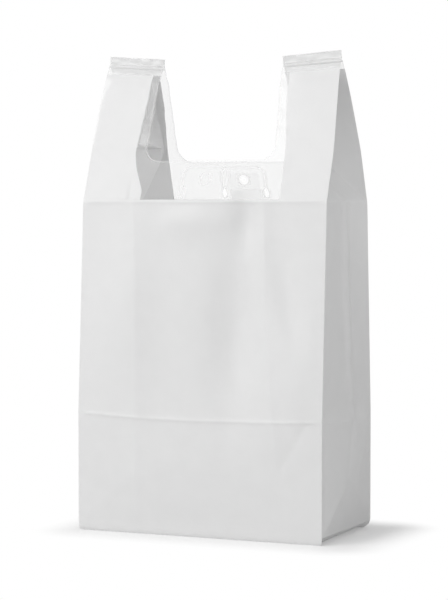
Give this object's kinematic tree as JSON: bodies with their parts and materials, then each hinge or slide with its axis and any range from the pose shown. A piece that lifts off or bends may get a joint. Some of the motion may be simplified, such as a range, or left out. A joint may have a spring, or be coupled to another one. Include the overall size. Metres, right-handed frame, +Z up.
{
  "type": "plastic carrier bag",
  "caption": "Gusseted plastic carrier bag with cut-out film handles, a hanging tab and a folded base, standing open.",
  "frame": {"origin": "middle of the underside of the base", "axes": "+Z up to the sealed handle tops, +X along the wide front panel to its right edge, -Y out of the front panel"},
  "size_m": [0.2886, 0.1461, 0.5088],
  "materials": {
    "white_film": "thin milky white polythene film with a soft shine"
  },
  "bodies": {
    "root": {"carrier_bag": "white_film"}
  },
  "joints": []
}
